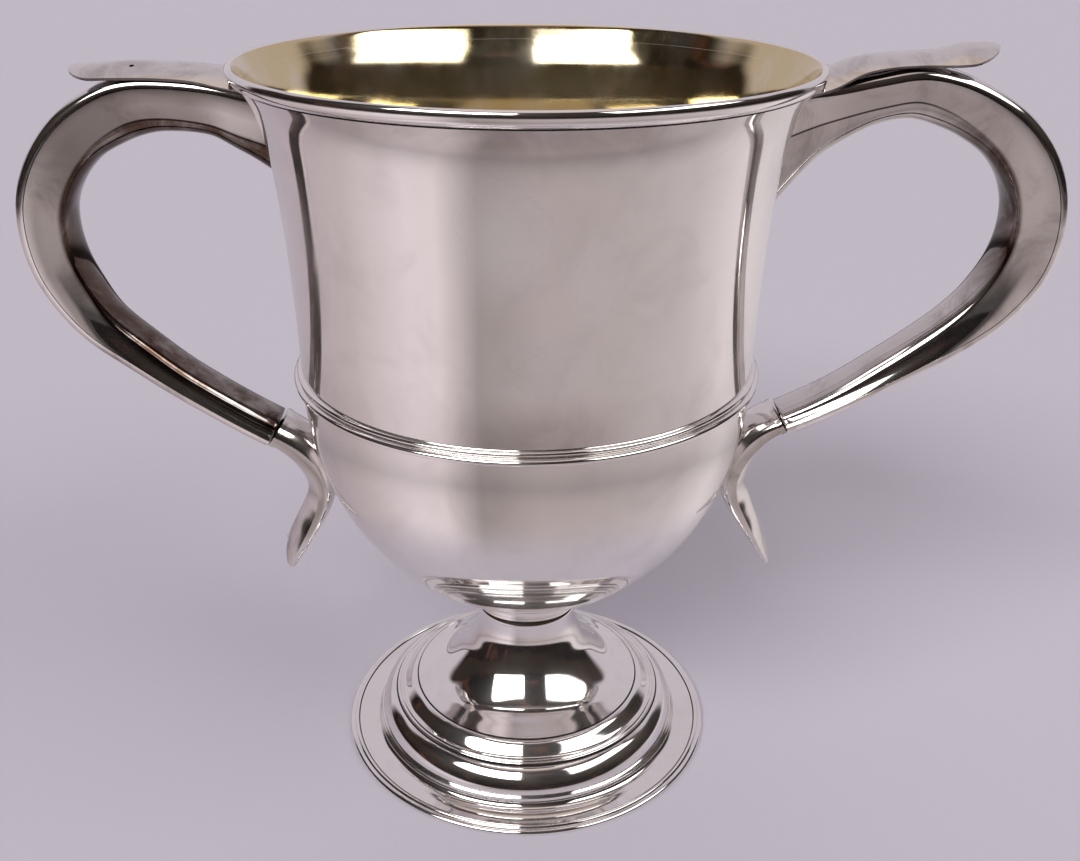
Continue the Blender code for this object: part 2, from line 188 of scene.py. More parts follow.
# Bloom marks: middle, half sizes and share at the middle.
BLOOM_MARKS = [((-5.0, -53.0, 147.0), (13.0, 40.0, 17.0), 0.4),
               ((13.0, -52.0, 139.0), (10.0, 40.0, 13.0), 0.35),
               ((4.0, -52.0, 122.0), (16.0, 40.0, 12.0), 0.2)]
DRIED_POLISH = "#D2CCCA"
CROOK_BROWN = "#54443B"
# Painted shade under a thumb-piece and on its edge.
UNDERSIDE_SHADE_BLACK = "#3A302C"
# Painted shade along a handle's crease.
CREASE_SHADE_BLACK = "#1A1310"
SEAM_BLACK = "#14100E"

# Windows: left, right, low and high edge in degrees as the cup sees them, with zero straight in front.
WINDOW_PANES = [(-58.0, -6.0, 31.5, 52.0), (34.0, 94.0, 31.5, 52.0)]
WINDOW_SHARES = (1.4, 0.6)
WINDOW_TINT = (1.0, 0.98, 0.97)
WINDOW_SOFT = 2.0
# The room's soft edges in degrees: beside the cup where the screens start, over them where they end, the dark
# gap under them, the foot of the room and the ceiling.
SCREEN_SIDE = (100.0, 116.0)
SCREEN_TOP = (66.0, 78.0)
GAP_SIDE = (118.0, 128.0)
GAP_TOP = (26.0, 36.0)
ROOM_FOOT = (9.0, 14.0)
ROOM_WALL = (24.0, 30.0)
CEILING = (58.0, 72.0)
LOW_ROOM = "#332B25"
PALE_SCREEN = "#C9C1C8"
PALE_CEILING = "#D9CBC6"
FAR_PAPER = "#C5BECA"
# The light's fall-off on the paper as the mirror sees it: by direction in degrees, from straight behind the
# cup round its left side, and by distance in millimetres.
PAPER_TONES = [(0.0, "#BEBDC9"), (55.0, "#BEB5BE"), (95.0, "#CDC3C5"), (128.0, "#F2EAF0"),
               (141.0, "#F4EBEF"), (159.0, "#A29A9A"), (185.0, "#BCB3B4"), (217.0, "#C0B8B9"),
               (253.0, "#CEC7C9"), (284.0, "#F0EBED"), (306.0, "#E8E4E6"), (360.0, "#BEBDC9")]
PAPER_RINGS = [(0.0, "#FFFFFF"), (110.0, "#FFFFFF"), (150.0, "#F4F4F4"), (180.0, "#D8D8D8"),
               (225.0, "#EEEEEE"), (260.0, "#F8F8F8"), (480.0, "#FFFFFF"), (700.0, "#E7E7E7"),
               (950.0, "#8C8684"), (1250.0, "#1C1817")]
PLAIN_REACH = 60.0
FLOOR_SIZE = 6.0

PHOTO_WIDTH = 1080
FOCAL_PIXELS = 1156.4
SENSOR = 36.0
CAMERA_PLACE = (-2.66, -253.8, 205.9)
CAMERA_PITCH = 25.62
CAMERA_HEADING = 1.316
CAMERA_ROLL = 0.374
NEAR_CLIP = 0.01


def linear(hex_colour):
    """An sRGB hex colour as linear red, green and blue."""
    values = []
    for i in (1, 3, 5):
        v = int(hex_colour[i:i + 2], 16) / 255
        values.append(v / 12.92 if v <= 0.04045 else ((v + 0.055) / 1.055) ** 2.4)
    return tuple(values)


def length(name, description, millimetres):
    """A size, given in millimetres."""
    return FloatProperty(name=name, description=description, default=millimetres * MM, unit="LENGTH",
                         precision=5)


def tone(name, description, hex_colour):
    """A colour, given as an sRGB hex value."""
    return FloatVectorProperty(name=name, description=description, default=linear(hex_colour),
                               subtype="COLOR")


class CupSizes(bpy.types.PropertyGroup):
    """Sizes of the silver that a maker would change."""

    bowl_sheet: length("Bowl sheet", "Thickness of the raised bowl", 1.0)
    foot_sheet: length("Foot sheet", "Thickness of the raised foot", 1.1)
    trough_wall: length("Handle wall", "Thickness of a handle's hollow trough", 0.9)
    strap_edge: length("Strap thickness", "Thickness of a handle's outer strap", 0.6)
    strap_arch: length("Strap arch", "Rise of a strap's middle over its edges", 1.75)
    handle_half: length("Half handle width", "Half the width of a handle", 7.25)
    thumb_sheet: length("Thumb-piece sheet", "Thickness of a thumb-piece", 0.7)
    thumb_drop: length("Thumb-piece drop", "Fall of a thumb-piece's sides from its middle", 2.4)
    tail_edge: length("Tail edge", "Edge thickness of a handle's cast lower end", 1.2)
    lip_raise: length("Joint lip", "Height of the lip round the lower joint", 0.25)
    round_steps: IntProperty(name="Round steps", description="Steps in a full turn", default=192, min=24)
    run_steps: IntProperty(name="Run steps", description="Steps between two points of a run", default=6,
                           min=1)


class CupFinish(bpy.types.PropertyGroup):
    """Colours of the silver, the gilding and the stage."""

    silver: tone("Silver", "Polished sterling silver", "#F3F0EE")
    tarnish: tone("Tarnish", "Warm sulphide film in the recesses", "#665248")
    gilding: tone("Gilding", "Pale worn gilding inside the bowl", "#D9C99F")
    paper: tone("Paper", "Pale paper that the cup stands on", "#C4C0CC")
    room: tone("Dark room", "The unlit room in front of the cup", "#1C1817")
    wood: tone("Furniture", "Brown furniture in the dark room", "#5A3A30")
    window: FloatProperty(name="Window strength", description="Brightness of the two windows",
                          default=6.0, min=0.0)


def sizes():
    """The cup's sizes in this scene."""
    return bpy.context.scene.cup_sizes


def finish():
    """The cup's colours in this scene."""
    return bpy.context.scene.cup_finish


def eased(points, steps):
    """Points of a smooth curve through the given ones, with all their values blended."""
    line = []
    last = len(points) - 1
    for i in range(last):
        before = points[max(i - 1, 0)]
        after = points[min(i + 2, last)]
        for k in range(steps):
            t = k / steps
            row = []
            for p0, p1, p2, p3 in zip(before, points[i], points[i + 1], after):
                bend = (p2 - p0) * t + (2 * p0 - 5 * p1 + 4 * p2 - p3) * t * t
                row.append(p1 + 0.5 * (bend + (3 * p1 - p0 - 3 * p2 + p3) * t ** 3))
            line.append(tuple(row))
    return line + [tuple(points[-1])]


def arc(centre, radii, start, end, steps):
    """Points on an ellipse between two angles in degrees, measured up from the radius direction."""
    points = []
    for k in range(steps + 1):
        a = math.radians(start + (end - start) * k / steps)
        points.append((centre[0] + radii[0] * math.cos(a), centre[1] + radii[1] * math.sin(a)))
    return points


def beside(points, distance):
    """The line moved square to itself, to the left of its run."""
    moved = []
    last = len(points) - 1
    for i, (x, z) in enumerate(points):
        ax, az = points[max(i - 1, 0)]
        bx, bz = points[min(i + 1, last)]
        run = math.hypot(bx - ax, bz - az)
        moved.append((x + (az - bz) / run * distance, z + (bx - ax) / run * distance))
    return moved


def draw_line(name, points):
    """Start a piece as one vertex and extrude it through the points; it stays in edit mode."""
    bpy.ops.object.select_all(action="DESELECT")
    bpy.ops.mesh.primitive_plane_add(size=MM, location=(0.0, 0.0, 0.0))
    thing = bpy.context.object
    thing.name = name
    thing.data.name = name
    bpy.ops.object.mode_set(mode="EDIT")
    bpy.ops.mesh.select_mode(type="VERT")
    bpy.ops.mesh.select_all(action="SELECT")
    bpy.ops.mesh.merge(type="CENTER")
    bpy.ops.mesh.select_all(action="SELECT")
    bpy.ops.transform.translate(value=points[0])
    for here, there in zip(points, points[1:]):
        bpy.ops.mesh.extrude_region_move(TRANSFORM_OT_translate={"value": Vector(there) - Vector(here)})
    return thing


def merge_doubles():
    """Merge the points that lie on each other in the piece that is in edit mode."""
    bpy.ops.mesh.select_all(action="SELECT")
    bpy.ops.mesh.remove_doubles(threshold=MERGE * MM)


def close_up(thing, sharp):
    """Merge the seams, face everything outward and shade it smooth up to an angle in degrees."""
    merge_doubles()
    bpy.ops.mesh.normals_make_consistent(inside=False)
    bpy.ops.object.mode_set(mode="OBJECT")
    bpy.ops.object.shade_smooth_by_angle(angle=math.radians(sharp))
    return thing


def turned(name, outline, closed=True):
    """A piece spun round the cup's axis from its outline in millimetres."""
    points = [(r * MM, 0.0, z * MM) for r, z in outline]
    if closed:
        points.append(points[0])
    thing = draw_line(name, points)
    bpy.ops.mesh.select_all(action="SELECT")
    bpy.ops.mesh.spin(steps=sizes().round_steps, angle=math.tau, center=(0.0, 0.0, 0.0), axis=(0.0, 0.0, 1.0))
    return close_up(thing, TURNED_SHARP)


def apply_all(thing):
    """Apply a piece's modifiers in order."""
    bpy.ops.object.select_all(action="DESELECT")
    thing.select_set(True)
    bpy.context.view_layer.objects.active = thing
    for step in list(thing.modifiers):
        bpy.ops.object.modifier_apply(modifier=step.name)


def frames(side, line):
    """For each point of a run: the row, its place, its direction and the direction to the hollow side."""
    rows = []
    last = len(line) - 1
    for i, row in enumerate(line):
        ahead = line[min(i + 1, last)]
        behind = line[max(i - 1, 0)]
        run = Vector((side * (ahead[0] - behind[0]), 0.0, ahead[1] - behind[1])).normalized()
        hollow = Vector((side * run.z, 0.0, -side * run.x))
        rows.append((row, Vector((side * row[0] * MM, 0.0, row[1] * MM)), run, hollow))
    return rows


def sweep(rows, width, depth, twist=None):
    """Carry the selected section along a run: at each step it moves, turns and changes width and depth."""
    across = Vector((0.0, 1.0, 0.0))
    for k, (here, there) in enumerate(zip(rows, rows[1:])):
        bpy.ops.mesh.extrude_region_move(TRANSFORM_OT_translate={"value": there[1] - here[1]})
        turn = math.atan2(there[2].z, there[2].x) - math.atan2(here[2].z, here[2].x)
        turn = (turn + math.pi) % math.tau - math.pi
        if turn:
            bpy.ops.transform.rotate(value=turn, orient_axis="Y", orient_type="GLOBAL",
                                     center_override=there[1])
        wide = width(there[0]) / width(here[0])
        deep = depth(there[0]) / depth(here[0])
        square = Matrix((there[2], across, there[2].cross(across))).transposed()
        bpy.ops.transform.resize(value=(1.0, wide, deep), orient_type="GLOBAL", orient_matrix=square,
                                 orient_matrix_type="GLOBAL", center_override=there[1])
        if twist and twist[k]:
            tilt = Matrix((across, there[2].cross(across), there[2])).transposed()
            bpy.ops.transform.rotate(value=twist[k], orient_axis="Z", orient_type="GLOBAL",
                                     orient_matrix=tilt, orient_matrix_type="GLOBAL",
                                     center_override=there[1])


def section(row, points):
    """A section's points, given as (across, depth) in millimetres, put at the start of a run."""
    place, hollow = row[1], row[3]
    return [place + hollow * (d * MM) + Vector((0.0, y * MM, 0.0)) for y, d in points]


def swept(name, rows, points, width, depth, twist=None):
    """An open sheet carried along a run from its first section."""
    thing = draw_line(name, section(rows[0], points))
    bpy.ops.mesh.select_all(action="SELECT")
    sweep(rows, width, depth, twist)
    return thing


def look_towards(thing, place, direction):
    """Turn a sheet's faces so that the one nearest a place looks the given way."""
    bpy.ops.mesh.select_all(action="SELECT")
    bpy.ops.mesh.normals_make_consistent(inside=False)
    bpy.ops.object.mode_set(mode="OBJECT")
    nearest = min(thing.data.polygons, key=lambda face: (face.center - place).length)
    if nearest.normal.dot(direction) < 0:
        bpy.ops.object.mode_set(mode="EDIT")
        bpy.ops.mesh.select_all(action="SELECT")
        bpy.ops.mesh.flip_normals()
        bpy.ops.object.mode_set(mode="OBJECT")


def thicken(thing, thickness, bevel):
    """Give a sheet its thickness behind its faces and break its edges."""
    solid = thing.modifiers.new("thickness", "SOLIDIFY")
    solid.thickness = thickness
    solid.offset = -1.0
    solid.use_even_offset = True
    edge = thing.modifiers.new("broken edges", "BEVEL")
    edge.width = bevel * MM
    edge.segments = 2
    edge.limit_method = "ANGLE"
    edge.angle_limit = math.radians(BROKEN_SHARP)
    apply_all(thing)
    bpy.ops.object.shade_smooth_by_angle(angle=math.radians(HANDLE_SHARP))


def take_away(thing, cutter):
    """Cut a piece back with another shape."""
    step = thing.modifiers.new("cut", "BOOLEAN")
    step.operation = "DIFFERENCE"
    step.solver = "EXACT"
    step.object = cutter
    apply_all(thing)
    bpy.ops.object.shade_smooth_by_angle(angle=math.radians(HANDLE_SHARP))


def belly(half, depth, facets, start, fullness=2.0):
    """A rounded inner face as (across, depth) from one edge to the other."""
    power = 2.0 / fullness
    points = []
    for k in range(facets + 1):
        a = math.pi * k / facets
        across = math.copysign(abs(math.cos(a)) ** power, math.cos(a)) * half
        points.append((across, start + (depth - start) * abs(math.sin(a)) ** power))
    return points


def arched(half, rise):
    """A low arch as (across, height) from one edge to the other."""
    points = []
    for k in range(FACETS + 1):
        u = -math.cos(math.pi * k / FACETS)
        points.append((u * half, rise * max(0.0, 1.0 - u * u)))
    return points


def stand_for(thing, node, material):
    """Let a finished piece take the place of a CAD node."""
    thing.data.materials.clear()
    thing.data.materials.append(material)
    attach(thing, "root")
    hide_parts(node)


def bowl_outside():
    """The outside of the bowl from the lip down to the axis."""
    wall = eased(BOWL_WALL, CURVE_STEPS)
    floor = arc((0.0, BOWL_STRAIGHT), (BOWL_BELLY, BOWL_DROP), 0.0, -90.0, BASE_STEPS)
    return wall[:-1] + floor[:-1] + [(0.0, BOWL_STRAIGHT - BOWL_DROP)]


def model_bowl():
    """The raised bowl, gilt on the faces that look at the axis."""
    sheet = sizes().bowl_sheet / MM
    outside = bowl_outside()
    inside = beside(outside, -sheet)
    inside[-1] = (0.0, outside[-1][1] + sheet)
    # The inside runs straight up to the rim wire's inner edge.
    inside[:2] = [(LIP_INSIDE, BOWL_TOP)]
    thing = turned("bowl_raised", inside[::-1] + outside, closed=False)
    stand_for(thing, "bowl", bowl_silver())
    thing.data.materials.append(parcel_gilt())
    wall = sorted((z, r) for r, z in beside(outside, -sheet / 2))
    for face in thing.data.polygons:
        middle = face.center
        radius = math.hypot(middle.x, middle.y) / MM
        reach = next((r for z, r in wall if z >= middle.z / MM), wall[-1][1])
        if radius < reach and face.normal.dot(Vector((-middle.x, -middle.y, GILT_LOOK * MM))) > 0:
            face.material_index = 1


def model_bands():
    """The half-round wire that thickens the lip, and the reeded girdle below."""
    rim = turned("rim_wire_drawn", eased(RIM_SECTION, CURVE_STEPS)[::-1])
    stand_for(rim, "rim_wire", turned_silver("Rim wire silver", RIM_SEAM))
    rim.data.materials.append(parcel_gilt())
    for face in rim.data.polygons:
        radius = math.hypot(face.center.x, face.center.y) / MM
        over = face.center.z > (BOWL_TOP + RIM_GILT_RISE) * MM
        if radius < LIP_INSIDE + RIM_GILT_BAND or (radius < GILT_EDGE and over):
            face.material_index = 1
    outline = []
    for radius, height, out, up in (GIRDLE_TOP_REED, GIRDLE_LOW_REED):
        outline += arc((radius, height), (out, up), REED_TURN, -REED_TURN, REED_STEPS)
    girdle = turned("girdle_reeded", outline + GIRDLE_BACK)
    stand_for(girdle, "girdle_band", turned_silver("Girdle silver"))


def model_foot():
    """The neck collar, the spread dome, the stepped moulding and the reeded wire it stands on."""
    sheet = sizes().foot_sheet / MM
    collar = turned("neck_collar_drawn", eased(COLLAR_OUTSIDE, CURVE_STEPS) + COLLAR_INSIDE)
    stand_for(collar, "neck_collar", turned_silver("Neck collar silver"))
    dome = eased(DOME_LINE, DOME_STEPS)
    under = beside(dome, -sheet)
    under[0] = (DOME_TOP[0] - sheet, DOME_TOP[1])
    raised = turned("foot_dome_raised", dome + under[::-1])
    stand_for(raised, "foot_dome", turned_silver("Foot dome silver", DOME_SEAM))
    reeds = []
    for radius, height, reed in STEP_REEDS:
        reeds += arc((radius, height), (reed, reed), *STEP_REED_TURN, STEP_REED_STEPS)
    outside = eased(STEP_LINE, CURVE_STEPS) + reeds
    outside += eased(OVOLO_LINE, OVOLO_STEPS) + eased(COVE_LINE, CURVE_STEPS)
    inside = UNDER_LINE + arc(UNDER_CENTRE, UNDER_RADII, 0.0, UNDER_TURN, REED_STEPS) + UNDER_STEP
    moulding = turned("foot_moulding_turned", outside + inside)
    stand_for(moulding, "foot_moulding", turned_silver("Foot moulding silver", MOULDING_SEAM))
    rim = turned("foot_rim_drawn", eased(FOOT_RIM_REEDS, FOOT_RIM_STEPS) + FOOT_RIM_FLAT)
    stand_for(rim, "foot_rim", turned_silver("Foot rim silver", FOOT_RIM_SEAM))


def cup_room():
    """The space the bowl and rim take, a little inside their skin, to cut the handle roots back to them."""
    wall = beside(bowl_outside(), -SEAM)
    wall[-1] = (0.0, wall[-1][1])
    return turned("cup_room", ROOM_TOP + wall[1:], closed=False)


def model_handle(word, side, run_points, tail, skew, thumb, stains):
    """One scroll handle: trough, strap, cast lower end and thumb-piece."""
    title = word.capitalize()
    size = sizes()
    half = size.handle_half / MM
    room = cup_room()
    rows = frames(side, eased(run_points, size.run_steps))
    middle = rows[len(rows) // 2]

    trough = model_trough(word + "_handle_trough", rows, half)
    look_towards(trough, middle[1] + middle[3] * (middle[0][2] * MM), middle[3])
    thicken(trough, size.trough_wall, TROUGH_BREAK)
    take_away(trough, room)
    stand_for(trough, word + "_handle_body", trough_silver(title + " trough silver", *stains))

    strap = model_strap(word + "_handle_strap_bent", rows, half)
    take_away(strap, room)
    stand_for(strap, word + "_handle_strap", handle_silver(title + " strap silver"))

    end = model_tail(word, side, tail, skew)
    take_away(end, room)
    stand_for(end, word + "_lower_terminal", handle_silver(title + " lower end silver"))

    leaf = model_thumb(word, side, thumb)
    take_away(leaf, room)
    if side < 0:
        bpy.ops.object.select_all(action="DESELECT")
        place = Vector((*VENT_AT, RIM_TOP)) * MM
        bpy.ops.mesh.primitive_cylinder_add(vertices=VENT_SIDES, radius=VENT_RADIUS * MM,
                                            depth=VENT_DEPTH * MM, location=place)
        pin = bpy.context.object
        take_away(leaf, pin)
        bpy.data.objects.remove(pin)
    # The thumb-piece gets painted shade on its edge and on its underside.
    silver = handle_silver(title + " thumb-piece silver", THUMB_FILM, thumb_underside_shade)
    stand_for(leaf, word + "_thumb_piece", silver)
    bpy.data.objects.remove(room)


def model_trough(name, rows, half):
    """The open trough of a handle: two flat sides that lean in to a rounded inner face."""
    crease = rows[0][0][3]
    near = TROUGH_LEAN * half
    sheets = []
    for edge in (1, -1):
        line = [(edge * half, SEAM), (edge * (half + near) / 2, crease / 2), (edge * near, crease)]
        sheets.append(swept(name, rows, line, lambda row: 1.0, lambda row: row[3]))
        bpy.ops.object.mode_set(mode="OBJECT")
    inner = [(row, place + hollow * (row[3] * MM), run, hollow) for row, place, run, hollow in rows]
    arch = belly(near, rows[0][0][2] - crease, TROUGH_FACETS, 0.0)
    sheets.append(swept(name, inner, arch, lambda row: 1.0, lambda row: row[2] - row[3]))
    bpy.ops.object.mode_set(mode="OBJECT")
    for sheet in sheets:
        sheet.select_set(True)
    bpy.ops.object.join()
    bpy.ops.object.mode_set(mode="EDIT")
    merge_doubles()
    bpy.ops.object.mode_set(mode="OBJECT")
    thing = bpy.context.object
    map_run(thing, rows)
    bpy.ops.object.mode_set(mode="EDIT")
    return thing


def map_run(thing, rows):
    """Map a handle's skin: U is the length along its run and V the depth past its crease, in metres."""
    lengths = [0.0]
    for here, there in zip(rows, rows[1:]):
        lengths.append(lengths[-1] + (there[1] - here[1]).length)
    spots = []
    for vert in thing.data.vertices:
        flat = Vector((vert.co.x, 0.0, vert.co.z))
        nearest = min(range(len(rows)), key=lambda k: abs((flat - rows[k][1]).dot(rows[k][2]))
                      + max(0.0, (flat - rows[k][1]).length - REACH * MM) * OUT_OF_REACH)
        row, place, _, hollow = rows[nearest]
        spots.append((lengths[nearest], (flat - place).dot(hollow) - row[3] * MM))
    layer = thing.data.uv_layers.active or thing.data.uv_layers.new(name="run")
    for loop in thing.data.loops:
        layer.data[loop.index].uv = spots[loop.vertex_index]


def shouldered(half, rise, shoulder):
    """A strip's top as (across, height): a nearly flat middle that rolls down at both edges."""
    roll = arc((half - shoulder, 0.0), (shoulder, rise - STRAP_CROWN), 0.0, 90.0, SHOULDER_STEPS)
    right = [(y, h + STRAP_CROWN * (1.0 - (y / half) ** 2)) for y, h in roll]
    return right + [(0.0, rise)] + [(-y, h) for y, h in right[::-1]]


def model_strap(name, rows, half):
    """The bent strip that closes a handle on its outer side."""
    size = sizes()
    rise = (size.strap_arch + size.strap_edge) / MM
    under = size.strap_edge / MM
    outer = [(y, -SEAM - h) for y, h in shouldered(half, rise, STRAP_SHOULDER)]
    inner = [(y, -SEAM - h) for y, h in shouldered(half - under, rise - under, STRAP_SHOULDER - under)]
    ring = outer + inner[::-1]
    swept(name, rows, ring + ring[:1], lambda row: 1.0, lambda row: 1.0)
    merge_doubles()
    bpy.ops.mesh.select_all(action="DESELECT")
    bpy.ops.mesh.select_non_manifold()
    bpy.ops.mesh.fill_holes(sides=0)
    return close_up(bpy.context.object, HANDLE_SHARP)


def model_tail(word, side, stations, skew):
    """The cast lower end: a raised lip, the elbow on the bowl and a notched leaf-shaped tail."""
    size = sizes()
    edge = size.tail_edge / MM / 2
    rows = frames(side, eased(stations, size.run_steps))
    count = len(rows)
    tail_steps = TAIL_SPANS * size.run_steps
    grown = [max(0.0, 1.0 - (count - 1 - i) / tail_steps) for i in range(count)]
    turns = [math.atan(skew * grown[i + 1]) - math.atan(skew * grown[i]) for i in range(count - 1)]
    turns = [side * turn for turn in turns]
    half, rise, depth = rows[0][0][2:5]
    outer = [(y, -h - edge) for y, h in arched(half, rise)]
    inner = belly(half, depth, FACETS, edge, TAIL_FULLNESS)
    top = swept(word + "_lower_end_top", rows, outer, lambda row: row[2], lambda row: row[3] + edge, turns)
    bpy.ops.object.mode_set(mode="OBJECT")
    swept(word + "_lower_end_cast", rows, inner, lambda row: row[2], lambda row: row[4], turns)
    bpy.ops.object.mode_set(mode="OBJECT")
    top.select_set(True)
    bpy.ops.object.join()
    end = bpy.context.object
    bpy.ops.object.mode_set(mode="EDIT")
    bpy.ops.mesh.select_all(action="DESELECT")
    bpy.ops.mesh.select_non_manifold()
    bpy.ops.mesh.bridge_edge_loops()
    notch_end(end, rows[-1], half)
    end = close_up(end, HANDLE_SHARP)
    lip = model_lip(word, rows[0], half, rise, depth)
    union = end.modifiers.new("lip", "BOOLEAN")
    union.operation = "UNION"
    union.solver = "EXACT"
    union.object = lip
    apply_all(end)
    bpy.data.objects.remove(lip)
    return end


def notch_end(end, tip, half):
    """Draw the middle of a tail's end back along its run, so that its corners stand out."""
    place, run = tip[1], tip[2]
    bpy.ops.mesh.select_mode(type="VERT")
    bpy.ops.mesh.select_all(action="DESELECT")
    grid = bmesh.from_edit_mesh(end.data)
    for vert in grid.verts:
        at_tip = (vert.co - place).dot(run) > -TIP_NEAR * MM
        vert.select = at_tip and abs(vert.co.y) < TIP_MIDDLE * half * MM
    bmesh.update_edit_mesh(end.data)
    bpy.ops.transform.translate(value=-run * (TAIL_NOTCH * MM), use_proportional_edit=True,
                                proportional_edit_falloff="LINEAR", proportional_size=half * MM)


def model_lip(word, joint, half, rise, depth):
    """The low raised lip where a handle enters its lower end."""
    size = sizes()
    raised = size.lip_raise / MM
    edge = size.tail_edge / MM / 2
    grown = half + raised
    outer = [(y, -h - edge - raised) for y, h in arched(grown, rise)]
    inner = belly(grown, depth + raised, FACETS, edge, TAIL_FULLNESS)
    ring = section(joint, outer + inner)
    lip = draw_line(word + "_lip", ring + ring[:1])
    merge_doubles()
    bpy.ops.mesh.edge_face_add()
    bpy.ops.mesh.extrude_region_move(TRANSFORM_OT_translate={"value": joint[2] * (LIP_WIDTH * MM)})
    return close_up(lip, HANDLE_SHARP)


def model_thumb(word, side, stations):
    """The arched leaf that runs out from the rim over the handle's crown to a rounded tip."""
    size = sizes()
    drop = size.thumb_drop / MM
    level = Vector((side, 0.0, 0.0))
    down = Vector((0.0, 0.0, -1.0))
    rows = [(row, Vector((side * row[0] * MM, 0.0, row[1] * MM)), level, down)
            for row in eased(stations, size.run_steps)]
    first = rows[0][0][2]
    fall = drop * (first / THUMB_HALF) ** 2
    top = [(y, fall - h) for y, h in arched(first, fall)]
    leaf = swept(word + "_thumb_leaf", rows, top, lambda row: row[2], lambda row: row[2] ** 2)
    middle = rows[len(rows) // 2]
    look_towards(leaf, middle[1], -down)
    thicken(leaf, size.thumb_sheet, LEAF_BREAK)
    return leaf


def add(tree, kind, inputs=None, **settings):
    """Add a shader node with its settings; an input takes a value, a socket or a node's first live output."""
    node = tree.nodes.new("ShaderNode" + kind)
    for key, value in settings.items():
        setattr(node, key, value)
    for key, value in (inputs or {}).items():
        socket = node.inputs[key]
        if isinstance(value, bpy.types.Node):
            value = next(out for out in value.outputs if out.enabled)
        if isinstance(value, bpy.types.NodeSocket):
            tree.links.new(value, socket)
        else:
            socket.default_value = (*value, 1.0) if socket.type == "RGBA" else value
    return node


def new_material(name):
    """An empty node material and its tree."""
    material = bpy.data.materials.new(name)
    material.use_nodes = True
    tree = material.node_tree
    tree.nodes.clear()
    return material, tree


def faded(tree, *steps):
    """A share made of soft steps multiplied: each is a value, its range and the share at both ends."""
    share = None
    for value, start, end, at_start, at_end in steps:
        ends = {"Value": value, "From Min": start, "From Max": end, "To Min": at_start, "To Max": at_end}
        step = add(tree, "MapRange", ends, interpolation_type="SMOOTHSTEP")
        if share is None:
            share = step
        else:
            share = add(tree, "Math", {0: share, 1: step}, operation="MULTIPLY")
    return share


def silver_surface(name, polish, haze, strokes, stain, wave, film=0.0, groove=None, stain_and_shade=None,
                   bloom=None):
    """Polished sterling silver: a buffed mirror under a haze of fine wear, tarnished where it isn't rubbed.

    polish is the mirror's roughness and haze the worn share. strokes are buffing strokes a metre along each
    axis, and wave is the height of the hammered unevenness in millimetres. film and stain are the least and
    the greatest share of tarnish.
    """
    material, tree = new_material(name)
    colours = finish()
    place = add(tree, "TexCoord").outputs["Object"]
    # Buffing strokes, drawn 0.4 to 0.7 mm wide so that they still show, stretch the reflections a little.
    along = add(tree, "Mapping", {"Vector": place, "Scale": strokes})
    hair = add(tree, "TexNoise", {"Vector": along, "Scale": 1.0, "Detail": 2.0, "Roughness": 0.6})
    # Hammered sheet keeps a faint unevenness about 12 mm wide after polishing, so edges in the mirror wander.
    swell = add(tree, "TexNoise", {"Vector": place, "Scale": 80.0, "Detail": 1.0, "Roughness": 0.4})
    # Soft marks about 25 mm wide, left by handling, dull the polish in places.
    tall = add(tree, "Mapping", {"Vector": place, "Scale": (1.0, 1.0, 0.7)})
    blotch = add(tree, "TexNoise", {"Vector": tall, "Scale": 40.0, "Detail": 3.0, "Roughness": 0.55})
    # Sulphide tarnish gathers in brownish clouds about 14 mm wide with ragged edges.
    cloud = add(tree, "TexNoise", {"Vector": place, "Scale": 70.0, "Detail": 6.0, "Roughness": 0.65,
                                   "Distortion": 0.6})
    base = add(tree, "Mix", {"Factor": faded(tree, (cloud, 0.45, 0.75, film, stain)),
                             "A": colours.silver, "B": colours.tarnish}, data_type="RGBA")
    # Tarnish in the recesses and painted shade are laid on the colour here.
    if stain_and_shade:
        base = stain_and_shade(tree, base, cloud)
    low = add(tree, "Bump", {"Height": swell, "Strength": 1.0, "Distance": wave * MM})
    bump = add(tree, "Bump", {"Height": hair, "Normal": low, "Strength": 0.15, "Distance": STROKE_DEPTH * MM})
    gloss = faded(tree, (blotch, 0.35, 0.7, polish, polish * 2.0))
    mirror = add(tree, "BsdfPrincipled", {"Base Color": base, "Normal": bump, "Metallic": 1.0,
                                          "Roughness": gloss})
    worn = add(tree, "BsdfPrincipled", {"Base Color": base, "Normal": bump, "Metallic": 1.0,
                                        "Roughness": WORN_ROUGHNESS})
    share = faded(tree, (blotch, 0.35, 0.7, haze * 0.5, haze * 1.5))
    skin = add(tree, "MixShader", {0: share, 1: mirror, 2: worn})
    if bloom:
        # Dried polish left by the last rubbing lies on the mirror as a pale bloom.
        dried = add(tree, "BsdfPrincipled", {"Base Color": linear(DRIED_POLISH), "Roughness": 0.7})
        skin = add(tree, "MixShader", {0: bloom(tree, place), 1: skin, 2: dried})
    if groove:
        # Black polish residue stays in the seam between two turned members.
        residue = add(tree, "BsdfPrincipled", {"Base Color": linear(SEAM_BLACK), "Roughness": 0.8})
        skin = add(tree, "MixShader", {0: seam_dirt(tree, place, *groove), 1: skin, 2: residue})
    add(tree, "OutputMaterial", {"Surface": skin})
    return material


def seam_dirt(tree, place, radius, half):
    """The share of dirt in a seam round the axis, from its radius and half its width in millimetres."""
    flat = add(tree, "VectorMath", {0: place, 1: (1.0, 1.0, 0.0)}, operation="MULTIPLY")
    reach = add(tree, "VectorMath", {0: flat}, operation="LENGTH")
    past = add(tree, "Math", {0: reach, 1: radius * MM}, operation="SUBTRACT")
    aside = add(tree, "Math", {0: past}, operation="ABSOLUTE")
    return faded(tree, (aside, 0.5 * half * MM, half * MM, 1.0, 0.0))


